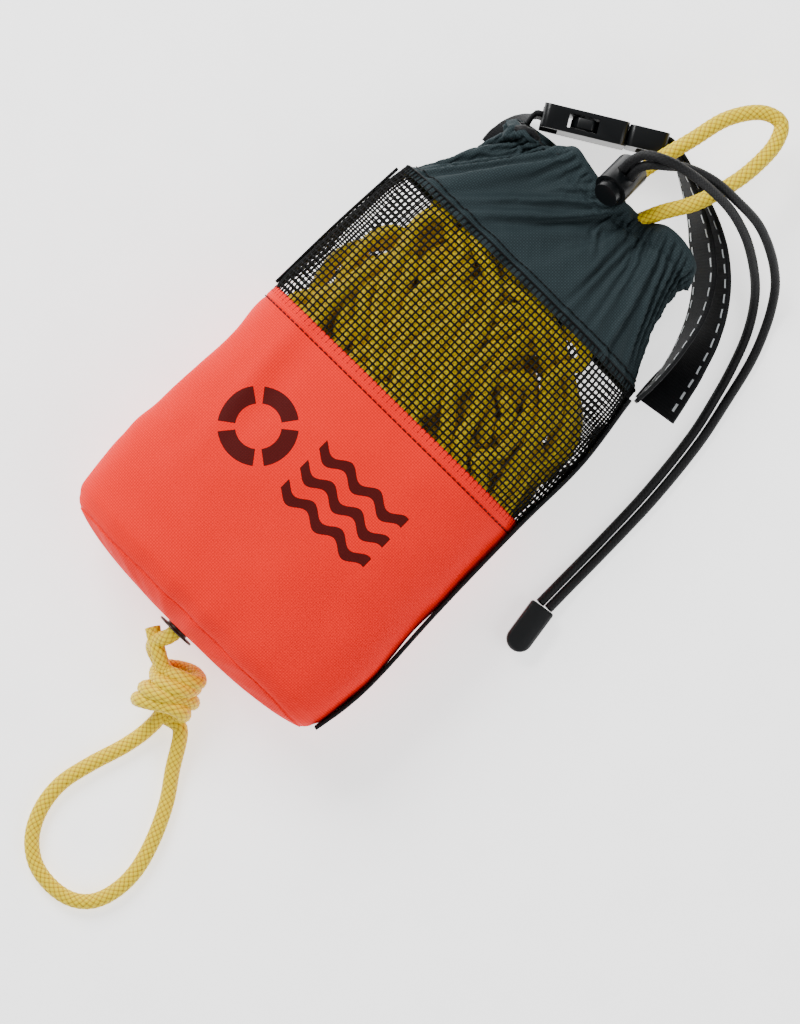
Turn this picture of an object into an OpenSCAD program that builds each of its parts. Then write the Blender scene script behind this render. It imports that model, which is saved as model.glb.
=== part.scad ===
// Throw rope bag: a cloth sack stuffed with floating rescue rope, lying on its back.
// +Y runs along the bag from the closed bottom to the gathered mouth, +X is the side
// with the sewn webbing, +Z is up. The origin is the middle of the face it lies on.

/* [Bag] */
// Width of the filled bag
bag_w = 140; // [134:1:146]
// Height of the filled bag as it lies
bag_h = 62; // [58:1:66]
// Distance from the origin back to the bottom seam
bottom_back = 110; // [100:5:120]
// Length of the solid cloth panel, bottom seam to hem
panel_len = 122; // [110:1:130]
// Length of the net window between the two cloth hems
mesh_len = 70; // [60:1:76]
// Length of the gathered collar, hem to mouth
collar_len = 52; // [46:1:56]
// Thickness of the doubled pack cloth
cloth_t = 1.2; // [0.8:0.1:1.6]
// Thickness of the net as it is sewn in
mesh_t = 0.8; // [0.6:0.1:1.2]
// Thickness of the closed-cell foam float at the bottom
foam_t = 8; // [5:1:10]

/* [Rope and cord] */
// Diameter of the braided floating rope
rope_d = 6.4; // [6:0.1:6.8]
// Diameter of the braided drawcord
cord_d = 4; // [3:0.1:4]
// Length of the moulded cord end
cord_end_l = 22; // [18:1:26]
// Width of the moulded cord end
cord_end_w = 11; // [10:0.5:13]

/* [Webbing] */
// Width of the strap webbing
web_w = 20; // [16:1:20]
// Thickness of the strap webbing
web_t = 1.6; // [1.2:0.1:1.8]

/* [Buckle] */
// Width of the side-release buckle
buckle_w = 26; // [25:0.5:26]
// Thickness of the side-release buckle
buckle_t = 10; // [9:0.5:11]
// Length of the socket half
socket_l = 36; // [34:1:38]
// Length of the plug half that stays outside the socket
plug_l = 17; // [16:1:18]

/* [Cord lock] */
// Outside radius of the lock barrel
lock_r = 7.2; // [7:0.1:7.5]
// Length of the lock barrel
lock_l = 16; // [15:1:17]
// Travel of the spring plunger
lock_travel = 3; // [2:0.5:3]

/* [Hidden] */
$fn = 48;

orange = "tomato";
slate = "#4c5a5e";
yellow = "#e6cf33";
black = "#1c1f22";
dark_red = "#4a1012";

// Seam positions along the bag
y_bottom = -bottom_back;
y_hem = y_bottom + panel_len;
y_collar = y_hem + mesh_len;
y_mouth = y_collar + collar_len;
seam_gap = 0.2;
hem_w = 6;

// Each station: [y, half width, underside z, top z, how deep the flat underside is cut]
half_w = bag_w / 2;
STATIONS = [
    [y_bottom, half_w - 5, 3, bag_h - 5, 1],
    [y_bottom + 6, half_w - 1, 0, bag_h - 1, 4],
    [y_bottom + 30, half_w + 2, 0, bag_h, 6],
    [y_bottom + 75, half_w, 0, bag_h, 6],
    [y_hem, half_w, 0, bag_h - 1, 6],
    [y_hem + 35, half_w - 1, 0, bag_h - 3, 6],
    [y_collar, half_w - 3, 0, bag_h - 5, 6],
    [y_collar + 14, half_w - 6, 0, bag_h - 6, 5],
    [y_collar + 26, half_w - 11, 1, bag_h - 8, 3],
    [y_collar + 36, half_w - 15, 3.5, bag_h - 11, 1],
    [y_collar + 45, half_w - 20, 7, bag_h - 15, 0],
    [y_mouth, half_w - 26, 11, bag_h - 18, 0]];
SIDES = 48;
ROUNDNESS = 2.5;

// ---- lofted cloth sections ----

// One column of the station table at distance y
function column(y, k) = lookup(y, [for (s = STATIONS) [s[0], s[k]]]);

// A point of a rounded, flat-bottomed section at angle t, moved in by depth
function round_cos(c) = sign(c) * pow(abs(c), 2 / ROUNDNESS);
function section_point(y, t, depth = 0) =
    let (a = column(y, 1) - depth, z0 = column(y, 2) + depth, z1 = column(y, 3) - depth,
         low = z0 - column(y, 4), zc = (low + z1) / 2, h = (z1 - low) / 2)
    [a * round_cos(cos(t)), y, max(z0, zc + h * round_cos(sin(t)))];
function section(y, depth = 0) =
    [for (i = [0 : SIDES - 1]) section_point(y, 360 * i / SIDES, depth)];

// Distances between two ends that also stop at each station
function stops(y0, y1) =
    concat([y0], [for (s = STATIONS) if (s[0] > y0 + 1 && s[0] < y1 - 1) s[0]], [y1]);

function flat(lists) = [for (l = lists) for (e = l) e];

// Triangles joining ring j to ring k, both of n points
function band(j, k, n) =
    [for (i = [0 : n - 1]) let (m = (i + 1) % n)
        each [[j * n + i, j * n + m, k * n + m], [j * n + i, k * n + m, k * n + i]]];

// Closed solid through a list of rings, with a fan cap at each end
module loft(rings) {
    n = len(rings[0]);
    last = len(rings) - 1;
    ends = [for (i = [1 : n - 2]) each [[0, i + 1, i],
            [last * n, last * n + i, last * n + i + 1]]];
    polyhedron(points = flat(rings),
        faces = concat(flat([for (k = [0 : last - 1]) band(k, k + 1, n)]), ends));
}

// Ring of rings: the last ring joins back to the first
module loft_loop(rings) {
    n = len(rings[0]);
    count = len(rings);
    polyhedron(points = flat(rings),
        faces = flat([for (k = [0 : count - 1]) band(k, (k + 1) % count, n)]));
}

// Open-ended cloth tube of wall t between two distances along the bag
module cloth_tube(y0, y1, t) {
    ys = stops(y0, y1);
    back = [for (k = [len(ys) - 1 : -1 : 0]) section(ys[k], t)];
    loft_loop(concat([for (y = ys) section(y)], back));
}

// ---- swept cords and webbing ----

function unit(v) = v / norm(v);
function heading(path, k) =
    unit(path[min(k + 1, len(path) - 1)] - path[max(k - 1, 0)]);

// Ring of points round a path, square to its heading
function cord_ring(path, k, r, sides) =
    let (d = heading(path, k), side = unit(cross(d, [0, 0, 1])), up = cross(side, d))
    [for (i = [0 : sides - 1]) let (t = 360 * (i + 0.5) / sides)
        path[k] + r * (side * cos(t) + up * sin(t))];
module cord(path, d, sides = 8) {
    loft([for (k = [0 : len(path) - 1]) cord_ring(path, k, d / 2, sides)]);
}

// Flat strap along points [x, y, z, lean]: lean 0 stands on edge, 90 lies flat
function strap_ring(route, k, w, t) =
    let (p = route[k], q = [for (r = route) [r[0], r[1], 0]], d = heading(q, k),
         side = cross(d, [0, 0, 1]),
         wide = [0, 0, 1] * cos(p[3]) - side * sin(p[3]),
         thick = side * cos(p[3]) + [0, 0, 1] * sin(p[3]),
         c = [p[0], p[1], p[2]])
    [c - wide * w / 2 - thick * t / 2, c - wide * w / 2 + thick * t / 2,
     c + wide * w / 2 + thick * t / 2, c + wide * w / 2 - thick * t / 2];
// Route with each step cut into equal parts, so that a twist turns a little at a time
STRAP_PARTS = 4;
function finer(route) = concat(
    [for (k = [0 : len(route) - 2], i = [0 : STRAP_PARTS - 1])
        route[k] + (route[k + 1] - route[k]) * i / STRAP_PARTS],
    [route[len(route) - 1]]);
module strap(route, w, t) {
    steps = finer(route);
    loft([for (k = [0 : len(steps) - 1]) strap_ring(steps, k, w, t)]);
}

// ---- routes, chosen by hand ----

rope_z = rope_d / 2 + 0.1;
// The rope comes out of the bottom, drops and enters the knot on the floor
exit_z = 28;
TAIL_ROUTE = [[0, -96, exit_z], [0, -108, exit_z], [0, -120, exit_z],
              [-2.5, -126, 22], [-2, -130, 14.5], [5, -133, 10], [12, -136, 11]];
TIP_ROUTE = [[8, -133, 19], [0, -129, 21], [-8, -124, 20]];
// Hand loop behind the knot, lying on the floor
LOOP_ROUTE = [[19, -146, 9], [20, -156, 5], [18, -168, rope_z], [13, -184, rope_z],
              [10, -198, rope_z], [11.5, -211, rope_z], [17, -222, rope_z],
              [26, -229, rope_z], [37, -231, rope_z], [47, -229, rope_z],
              [54, -223, rope_z], [57.5, -213, rope_z], [57.5, -201, rope_z],
              [53.5, -187, rope_z], [47, -173, rope_z], [39, -161, 5], [30, -147, 9]];
// Loop of the stuffed end, standing out of the mouth over the buckle and strap
MOUTH_ROUTE = [[2, 66, 28], [0, 86, 29], [0, 106, 31], [1, 126, 32.5], [3, 142, 33],
               [6, 158, 33], [10, 174, 32], [14, 190, 29.5], [22, 202, 26.5],
               [31, 205, 25], [35.5, 197, 27], [36, 184, 30.5], [34, 171, 32.5],
               [29, 156, 33], [21, 142, 33.5], [15, 126, 32], [12, 106, 31], [9, 66, 28]];

// Drawcord pair: straight through the lock, over to the side, then along the floor
lock_lean = 35;
lock_dir = [0, sin(lock_lean), cos(lock_lean)];
hem_exit = [1, 133.5, 42.5];
lock_at = 11;
straight_l = 25;
strand_gap = 2.1;
cord_z = cord_d / 2 + 0.1;
cord_end_z = 4.4;
function strand_start(side) =
    [for (s = [-3, 3, lock_at, 18, straight_l]) hem_exit + s * lock_dir + [side, 0, 0]];
INNER_ROUTE = concat(strand_start(-strand_gap), [
    [1.5, 153, 68], [8.5, 157, 70.3], [18, 160, 67.6], [29, 162.2, 59],
    [41, 163, 47.6], [52.5, 161, 35], [62.5, 156.6, 23], [71, 150.8, 12],
    [77.5, 143.5, 5], [83, 134, cord_z], [87.5, 122, cord_z], [91.5, 108, cord_z],
    [95.8, 88, cord_z], [98.6, 60, cord_z], [99.4, 32, cord_z], [99.4, 8, 3],
    [99.4, -4.9, cord_end_z]]);
OUTER_ROUTE = concat(strand_start(strand_gap), [
    [5.5, 151.7, 66], [10.5, 156, 66.2], [17, 161.5, 61.5], [28, 166, 54.8],
    [41, 167.6, 46], [54, 167.8, 35], [66, 164, 23], [75.5, 158, 12.5],
    [82, 150, 5.5], [87.5, 139.5, cord_z], [92, 127, cord_z], [95.9, 110, cord_z],
    [100.2, 88, cord_z], [102.9, 60, cord_z], [103.6, 32, cord_z], [103.6, 8, 3],
    [103.6, -4.3, cord_end_z]]);
cord_end_turn = 8;

// Buckle frame: the socket's mouth, its direction, and its height above the floor
buckle_at = [-10.5, 157.5, 14.6];
buckle_turn = 31;

// Webbing routes, [x, y, z, lean]
side_x = half_w + 1.4;
SIDE_ROUTE = [[side_x - 1.5, -106, 30, 0], [side_x + 1.6, -90, 30, 0],
              [side_x + 1.9, -72, 30, 0], [side_x, -35, 30, 0], [side_x, 12, 30, 0],
              [side_x - 0.8, 47, 29, 0], [side_x - 2.6, 80, 28, 0]];
BINDING_ROUTE = [for (y = [y_hem + 1, y_hem + 35, y_collar - 1])
                 [-column(y, 1) - 0.9, y, 29, 0]];
STRAP_ROUTE = [[17.5, 163.2, 14.6, 0], [29, 156.8, 15, 14], [41.5, 148.5, 16, 26],
               [53, 138.5, 18, 26], [61.5, 125.5, 21, 20], [66.5, 110, 24, 10],
               [68.8, 95, 27, 3], [68.9, 81.5, 28, 0]];
TAIL_STRAP_ROUTE = [[17.5, 166.1, 14.6, 0], [32, 159.6, 14.6, 12], [48, 150.5, 15, 24],
                    [60.5, 139, 16, 28], [70, 124, 17, 30], [75, 108, 16, 45],
                    [77.5, 96, 14, 62], [81.5, 86, 12, 75], [88, 78.5, 11, 80]];

// ---- bag ----

module main_panel() { color(orange) cloth_tube(y_bottom, y_hem, cloth_t); }

module mesh_panel() {
    color(black) cloth_tube(y_hem + seam_gap, y_collar - seam_gap, mesh_t);
}

module collar() { color(slate) cloth_tube(y_collar, y_mouth, cloth_t); }

// Oval end panel, domed outwards, with a hole for the grommet
grommet_hole_r = 5.2;
dome = 6;
function end_ring(share, y) =
    [for (i = [0 : SIDES - 1])
        let (t = 360 * i / SIDES, rim = section_point(y_bottom, t),
             eye = [grommet_hole_r * cos(t), y_bottom, exit_z + grommet_hole_r * sin(t)],
             p = rim * share + eye * (1 - share))
        [p[0], y, p[2]]];
END_SHARES = [1, 0.9, 0.7, 0.4, 0.12, 0];
function dome_y(share) = y_bottom - seam_gap - dome * (1 - pow(share, 3));
module bottom_panel() {
    color(orange) loft_loop(concat(
        [for (k = [len(END_SHARES) - 1 : -1 : 0])
            end_ring(END_SHARES[k], dome_y(END_SHARES[k]) - cloth_t)],
        [for (s = END_SHARES) end_ring(s, dome_y(s))]));
}

// Foam disc that floats the bag, with a hole for the rope
foam_y = y_bottom + 4;
module foam_float() {
    color("white") difference() {
        loft([section(foam_y, 4.2), section(foam_y + foam_t, 4.2)]);
        translate([0, foam_y - 1, exit_z]) rotate([-90, 0, 0]) cylinder(r = 5, h = foam_t + 2);
    }
}

// Rolled eyelet in the end panel and the washer clenched behind it
eyelet_y = y_bottom - seam_gap - dome - cloth_t;
module at_eyelet() { translate([0, eyelet_y, exit_z]) rotate([-90, 0, 0]) children(); }
module grommet() {
    color("dimgray") at_eyelet() rotate_extrude() {
        translate([4, -0.8]) square([1, 4.2]);
        translate([4, -1]) square([4.5, 0.8]);
    }
}
module grommet_washer() {
    color("dimgray") at_eyelet() rotate_extrude() translate([5.1, cloth_t + 0.4])
        square([3.6, 0.7]);
}

// ---- rope ----

pile_in = 6.5;
pile_shift = 3;
module stuffed_rope() {
    color(yellow) translate([pile_shift, 0, 0])
        loft([for (y = [y_bottom + 32, y_bottom + 38, -35, y_hem, y_hem + 35, 62, 70])
            section(y, pile_in + (y < y_bottom + 35 || y > 65 ? 8 : 0))]);
}

// Rounded knob that stands for a knot of length l and radius r along Y
module knot_solid(l, r) {
    rotate([90, 0, 0]) rotate_extrude()
        polygon([for (t = [-90 : 15 : 90]) [r * pow(cos(t), 0.6), l / 2 * sin(t)]]);
}
module stopper_knot() { color(yellow) translate([0, -88, exit_z]) knot_solid(18, 10); }
module tail_knot() {
    color(yellow) translate([15.5, -138, 13.6]) rotate([0, 0, 18]) knot_solid(31, 13.4);
}
module tail_rope() { color(yellow) cord(TAIL_ROUTE, rope_d, 10); }
module tail_tip() { color(yellow) cord(TIP_ROUTE, rope_d, 10); }
module tail_loop() { color(yellow) cord(LOOP_ROUTE, rope_d, 10); }
module mouth_loop() { color(yellow) cord(MOUTH_ROUTE, rope_d, 10); }

// ---- sewn trim ----

module side_webbing() { color(black) strap(SIDE_ROUTE, web_w, web_t); }
binding_w = 9;
module side_binding() { color(black) strap(BINDING_ROUTE, binding_w, 1); }

// Row of stitching over the top of the bag at distance y
thread_d = 0.7;
module thread_row(y) {
    cord([for (t = [8 : 8 : 172]) section_point(y, t, -0.5)], thread_d, 6);
}
module panel_hem_thread() { color("maroon") thread_row(y_hem - hem_w); }
module collar_hem_thread() { color(black) thread_row(y_collar + hem_w); }

// ---- buckle ----

module at_buckle() { translate(buckle_at) rotate([0, 0, buckle_turn]) children(); }

// Slab from x0 to x1, square to the buckle, with corners rounded in the wide face
module slab(x0, x1, w, t, r) {
    rotate([90, 0, 0]) translate([0, 0, -t / 2]) linear_extrude(t) {
        translate([x0 + r, -w / 2]) square([x1 - x0 - 2 * r, w]);
        translate([x0, -w / 2 + r]) square([x1 - x0, w - 2 * r]);
        for (x = [x0 + r, x1 - r], z = [-w / 2 + r, w / 2 - r]) translate([x, z]) circle(r);
    }
}

cavity_l = 25;
cavity_w = buckle_w - 4;
cavity_t = 6;
band_l = 12.4;
web_slot = web_w + 1;
// The bar that the webbing loops round, at the socket's closed end
bar_x = -socket_l;
bar_l = 3.2;
bar_t = 4;
module buckle_socket() {
    color(black) at_buckle() difference() {
        slab(-socket_l, 0, buckle_w, buckle_t, 3);
        translate([-cavity_l, -cavity_t / 2, -cavity_w / 2])
            cube([cavity_l + 1, cavity_t, cavity_w]);
        translate([-cavity_l, -cavity_t / 2, -buckle_w / 2 - 1])
            cube([cavity_l - band_l, cavity_t, buckle_w + 2]);
        translate([bar_x + bar_l, -buckle_t, -web_slot / 2])
            cube([4.4, 2 * buckle_t, web_slot]);
        for (y = [bar_t / 2, -bar_t / 2 - buckle_t])
            translate([bar_x - 1, y, -web_slot / 2]) cube([bar_l + 2, buckle_t, web_slot]);
    }
}

// Plug: outer frame with two webbing slots, and the guide between the arms
arm_root = 6.8;
hinge_x = -1.2;
module plug_base() {
    color(black) at_buckle() difference() {
        union() {
            slab(0.3, plug_l, buckle_w - 1, buckle_t - 1, 2.5);
            slab(-17, 1, 5, 4.6, 1);
        }
        for (x = [5, 10.6])
            translate([x, -buckle_t, -web_slot / 2]) cube([3.6, 2 * buckle_t, web_slot]);
    }
}

// One latching arm, rooted on the plug; the lower one is its mirror image
module arm(up) {
    at_buckle() mirror([0, 0, up ? 0 : 1]) {
        translate([hinge_x, 0, arm_root]) rotate([90, 0, 0])
            cylinder(r = 1.4, h = 4.6, center = true);
        translate([-22, -2.3, arm_root - 1.4]) cube([22 + hinge_x, 4.6, 2.8]);
        slab_head();
    }
}
module slab_head() {
    translate([0, 0, arm_root + 3]) rotate([90, 0, 0]) translate([0, 0, -2.3])
        linear_extrude(4.6) polygon([[-23.5, -3.2], [-13.6, -3.2], [-13.6, 1.6],
                                     [-15, 2.8], [-21, 2.2], [-23.5, -0.6]]);
}
module plug_arm_upper() { color(black) arm(true); }
module plug_arm_lower() { color(black) arm(false); }

// Webbing through the plug's slots, both layers, as far as it moves with the plug
lead_l = 9;
module strap_lead() {
    color(black) at_buckle() translate([plug_l + 0.3, -web_t, -web_w / 2])
        cube([lead_l, 2 * web_t + 0.4, web_w]);
}

// Webbing loop round the socket's bar, then both layers turning flat under the collar
TAB_ROUTE = [[-43.4, 137.8, 14.6, 0], [-49, 133.4, 10.4, 20], [-53, 129.5, 8.8, 42],
             [-51, 125, 5.7, 66], [-44, 119, 2, 88]];
loop_r = 2.2;
module socket_tab() {
    color(black) {
        at_buckle() translate([bar_x + 2.4, 0, -web_w / 2]) difference() {
            union() {
                cylinder(r = loop_r + web_t, h = web_w);
                translate([-4.6, -loop_r - web_t, 0]) cube([4.6, 2 * (loop_r + web_t), web_w]);
            }
            translate([0, 0, -1]) cylinder(r = loop_r, h = web_w + 2);
            translate([-5, -loop_r, -1]) cube([5, 2 * loop_r, web_w + 2]);
        }
        strap(TAB_ROUTE, web_w, 1.5 * web_t);
    }
}

module buckle_strap() { color(black) strap(STRAP_ROUTE, web_w, web_t); }
module strap_tail() { color(black) strap(TAIL_STRAP_ROUTE, web_w, web_t); }

// ---- drawcord ----

// Cord inside the hem of the mouth, and the two strands that leave it
ring_y = y_mouth - 4;
module drawcord_ring() {
    path = [for (i = [0 : 31]) section_point(ring_y, 360 * i / 32, cloth_t + cord_d / 2 + 0.4)];
    n = 6;
    count = len(path);
    rings = [for (k = [0 : count - 1])
        let (d = unit(path[(k + 1) % count] - path[(k + count - 1) % count]),
             out = cross(d, [0, 1, 0]))
        [for (i = [0 : n - 1]) let (t = 360 * i / n)
            path[k] + cord_d / 2 * (out * cos(t) + [0, 1, 0] * sin(t))]];
    color(black) loft_loop(rings);
}
module drawcord_inner() { color(black) cord(INNER_ROUTE, cord_d); }
module drawcord_outer() { color(black) cord(OUTER_ROUTE, cord_d); }

// Two moulded halves that clamp the knotted cord ends, split along their middle
module cord_end_half(z0, h) {
    translate([101.5, -5.1, 0]) rotate([0, 0, cord_end_turn]) translate([0, 0, z0])
        linear_extrude(h) {
            translate([-cord_end_w / 2, -(cord_end_l - cord_end_w / 2)])
                square([cord_end_w, cord_end_l - cord_end_w / 2]);
            translate([0, -(cord_end_l - cord_end_w / 2)]) circle(cord_end_w / 2);
        }
}
module cord_end_front() { color(black) cord_end_half(4.5, 4.2); }
module cord_end_back() { color(dark_red) cord_end_half(0.1, 4.3); }

// ---- cord lock ----

// Lock frame: +Z runs out of the plunger end, +Y is the way the cords leave
module at_lock() {
    translate(hem_exit + lock_at * lock_dir) rotate([90 - lock_lean, 0, 0]) children();
}
bore_r = 5.3;
eye_rim = 0.8;
eye = cord_d / 2 + 0.25;
// Eye for the pair of strands, stretched along the lock by reach
module cord_eye(reach) {
    rotate([90, 0, 0]) translate([0, 0, -20]) linear_extrude(40) {
        for (x = [-strand_gap, strand_gap], z = [0, reach]) translate([x, z]) circle(eye);
        translate([-strand_gap, -eye]) square([2 * strand_gap, reach + 2 * eye]);
        translate([-strand_gap - eye, 0]) square([2 * (strand_gap + eye), max(reach, 0.01)]);
    }
}
// The plunger's lower end, the bore's floor under it and the barrel's closed end
plunger_low = -eye - eye_rim;
floor_z = plunger_low - lock_travel - 1.1;
barrel_low = floor_z - 1.5;
barrel_top = barrel_low + lock_l;
module lock_barrel() {
    color(black) at_lock() difference() {
        translate([0, 0, barrel_low]) cylinder(r = lock_r, h = lock_l);
        translate([0, 0, floor_z]) cylinder(r = bore_r, h = lock_l);
        cord_eye(0);
    }
}
// The plunger stands out by its travel and a little more
plunger_r = bore_r - 0.05;
plunger_top = barrel_top + lock_travel + 0.6;
module lock_plunger() {
    color(black) at_lock() difference() {
        translate([0, 0, plunger_low]) cylinder(r = plunger_r, h = plunger_top - plunger_low);
        cord_eye(lock_travel);
    }
}
// Coil spring between the bore's floor and the plunger
wire_d = 0.5;
coil_r = 4;
spring_turns = 3;
module lock_spring() {
    rise = plunger_low - floor_z - 0.4 - wire_d;
    path = [for (i = [0 : 12 * spring_turns])
        [coil_r * cos(30 * i), coil_r * sin(30 * i),
         floor_z + 0.2 + wire_d / 2 + rise * i / (12 * spring_turns)]];
    color("silver") at_lock() cord(path, wire_d, 6);
}

main_panel();
bottom_panel();
mesh_panel();
collar();
foam_float();
grommet();
grommet_washer();
stuffed_rope();
stopper_knot();
tail_rope();
tail_knot();
tail_loop();
tail_tip();
mouth_loop();
side_webbing();
side_binding();
panel_hem_thread();
collar_hem_thread();
socket_tab();
buckle_socket();
buckle_strap();
strap_tail();
plug_base();
plug_arm_upper();
plug_arm_lower();
strap_lead();
drawcord_ring();
drawcord_inner();
drawcord_outer();
cord_end_front();
cord_end_back();
lock_barrel();
lock_plunger();
lock_spring();
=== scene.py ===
# %% [markdown]
# # A throw rope bag
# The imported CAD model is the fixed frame. Everything below is dressed around it, in metres, in
# the CAD's own axes: +Y along the bag to its mouth, +X to the webbed side, +Z up.

# %% The frame
import math

import bmesh
import bpy
import numpy as np
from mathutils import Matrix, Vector, kdtree, noise


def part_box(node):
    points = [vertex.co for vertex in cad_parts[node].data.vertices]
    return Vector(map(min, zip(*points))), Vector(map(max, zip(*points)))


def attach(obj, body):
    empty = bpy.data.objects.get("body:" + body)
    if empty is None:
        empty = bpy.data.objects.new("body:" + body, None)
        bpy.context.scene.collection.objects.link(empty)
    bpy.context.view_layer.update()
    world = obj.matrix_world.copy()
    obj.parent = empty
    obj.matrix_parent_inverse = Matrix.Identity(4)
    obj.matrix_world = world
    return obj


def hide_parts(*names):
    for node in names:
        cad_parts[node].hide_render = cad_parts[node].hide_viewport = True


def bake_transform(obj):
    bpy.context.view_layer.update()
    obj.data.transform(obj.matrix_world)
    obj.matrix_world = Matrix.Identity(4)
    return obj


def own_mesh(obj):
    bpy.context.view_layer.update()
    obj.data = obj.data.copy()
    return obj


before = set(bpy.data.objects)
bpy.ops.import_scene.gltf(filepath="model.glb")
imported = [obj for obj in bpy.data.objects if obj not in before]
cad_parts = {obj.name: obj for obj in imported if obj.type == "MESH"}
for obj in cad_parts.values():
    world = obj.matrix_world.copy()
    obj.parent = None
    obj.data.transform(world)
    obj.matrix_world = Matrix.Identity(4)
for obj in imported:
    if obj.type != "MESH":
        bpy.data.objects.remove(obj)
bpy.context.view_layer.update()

MM = 0.001

# %% [markdown]
# ## Camera first
# The bag is seen from straight above, so one camera looks down with a long lens. A long lens far
# away keeps the sides parallel, and the roll turns the bag so that it points up and to the right.

# %% Camera
camera_data = bpy.data.cameras.new("camera")
camera = bpy.data.objects.new("camera", camera_data)
bpy.context.scene.collection.objects.link(camera)
bpy.context.scene.camera = camera
CAMERA_HEIGHT = 2.0
VIEW_TALL = 0.4198
SENSOR = 36.0
camera_data.sensor_width = SENSOR
camera_data.lens = SENSOR * CAMERA_HEIGHT / VIEW_TALL
camera.location = (0.0315, -0.0187, CAMERA_HEIGHT + 0.03)
camera.rotation_euler = (0, 0, math.radians(44.5))
print("lens", round(camera_data.lens, 1), "mm")

# %% [markdown]
# ## Helpers
# Colours are chosen as sRGB hex values, which is what a colour picker shows, and the shader wants
# linear light, so one function converts them. The others each add a small part of a shader.

# %% Colour and node helpers
def linear(hex_code):
    """An sRGB hex colour as linear RGBA."""
    parts = [int(hex_code[i:i + 2], 16) / 255 for i in (1, 3, 5)]
    return [c / 12.92 if c <= 0.04045 else ((c + 0.055) / 1.055) ** 2.4 for c in parts] + [1.0]


def add(tree, kind, inputs=(), **settings):
    """Adds a shader node; inputs maps a socket to a value or to the socket it is linked from."""
    node = tree.nodes.new("ShaderNode" + kind)
    for key, value in settings.items():
        setattr(node, key, value)
    for key, value in dict(inputs).items():
        if isinstance(value, bpy.types.NodeSocket):
            tree.links.new(value, node.inputs[key])
        else:
            node.inputs[key].default_value = value
    return node


def ramp(tree, fac, stops):
    """A colour ramp through (position, hex colour) stops."""
    node = add(tree, "ValToRGB", {"Fac": fac})
    elements = node.color_ramp.elements
    while len(elements) < len(stops):
        elements.new(0.5)
    for element, (place, colour) in zip(elements, stops):
        element.position = place
        element.color = linear(colour)
    return node.outputs["Color"]


def new_material(name, roughness, shine=0.5):
    """A fresh material, its node tree and its Principled shader."""
    material = bpy.data.materials.new(name)
    material.use_nodes = True
    tree = material.node_tree
    shader = tree.nodes["Principled BSDF"]
    shader.inputs["Roughness"].default_value = roughness
    shader.inputs["Specular IOR Level"].default_value = shine
    return material, tree, shader


def math_node(tree, operation, first, second=0.0):
    """One arithmetic step of a pattern."""
    return add(tree, "Math", {0: first, 1: second}, operation=operation).outputs[0]


def times(tree, first, second):
    """A product of two sockets or numbers."""
    return math_node(tree, "MULTIPLY", first, second)


def plus(tree, first, second):
    """A sum of two sockets or numbers."""
    return math_node(tree, "ADD", first, second)


def connect(tree, shader, colour, height, strength, bump_mm):
    """Wires a colour into the shader, and a height as its bump."""
    tree.links.new(colour, shader.inputs["Base Color"])
    bump = add(tree, "Bump", {"Height": height, "Strength": strength, "Distance": bump_mm * MM})
    tree.links.new(bump.outputs["Normal"], shader.inputs["Normal"])


# %% [markdown]
# ## Woven cloth
# Pack cloth is a plain weave: each thread goes over one and under the next. The product of two
# sine waves, one across and one along, is positive where the warp is on top and negative where
# the weft is. Its size gives the height of each crossing, which drives the bump and the colour:
# painted shade in the gaps between threads and a painted highlight on the raised threads. Its sign
# tints the two thread directions a little differently. The UV map of every cloth piece is in
# metres on the flat cloth, so the weave keeps one scale everywhere.

# %% Weave pattern
def crossings(tree, across, along):
    """Sine product of two scaled coordinates, and the height of its bumps."""
    wave_a = math_node(tree, "SINE", across)
    wave_b = math_node(tree, "SINE", along)
    product = times(tree, wave_a, wave_b)
    height = math_node(tree, "POWER", math_node(tree, "ABSOLUTE", product), 0.5)
    return product, height


def uv_axes(tree):
    """The piece's own UV map, as vector, across and along sockets."""
    uv = add(tree, "TexCoord").outputs["UV"]
    split = add(tree, "SeparateXYZ", {0: uv})
    return uv, split.outputs["X"], split.outputs["Y"]


def weave(tree, thread_mm):
    """Plain weave of that thread spacing on the UV map: (product, height, uv)."""
    uv, across, along = uv_axes(tree)
    turns = math.pi / (thread_mm * MM)
    product, height = crossings(tree, times(tree, across, turns),
                                times(tree, along, turns))
    return product, height, uv


def cloth_material(name, thread_mm, shade_base_highlight_colours, roughness, bump_mm, ink=None):
    """Coated woven cloth. The three colours are painted shade in the gaps, the thread colour and a
    painted highlight on raised threads.
    """
    material, tree, shader = new_material(name, roughness, 0.12)
    product, height, uv = weave(tree, thread_mm)
    slubs = add(tree, "TexNoise", {"Vector": uv, "Scale": 900.0, "Detail": 3.0})
    clouds = add(tree, "TexNoise", {"Vector": uv, "Scale": 28.0, "Detail": 4.0})
    mixed = plus(tree, times(tree, height, 0.62), times(tree, product, 0.10))
    mixed = plus(tree, mixed, times(tree, slubs.outputs["Fac"], 0.22))
    mixed = plus(tree, mixed, times(tree, clouds.outputs["Fac"], 0.16))
    colour = ramp(tree, mixed, [(0.12, shade_base_highlight_colours[0]), (0.55, shade_base_highlight_colours[1]), (0.95, shade_base_highlight_colours[2])])
    if ink:
        colour = ink(tree, colour)
    connect(tree, shader, colour, mixed, 0.55, bump_mm)
    return material


# %% [markdown]
# ## A generic print
# The front panel carries one dark screen print. It is a plain rescue sign made of a ring buoy and
# three waves, worked out from distances on the UV map, so it lies on the weave like real ink and
# lets a little of the cloth's colour through.

# %% Print
INK = "#200807"
RING_AT = (-0.034, -0.034)
RING_OUT, RING_IN = 0.0165, 0.0095
WAVES_FROM, WAVES_TO = -0.010, 0.036
WAVE_ROWS = (-0.0225, -0.0335, -0.0445)
WAVE_LONG, WAVE_HIGH, WAVE_HALF = 0.0155, 0.0019, 0.0024
INK_COVER = 0.94


def between(tree, value, low, high):
    """1 where value lies between low and high."""
    above = math_node(tree, "GREATER_THAN", value, low)
    return times(tree, above, math_node(tree, "LESS_THAN", value, high))


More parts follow.
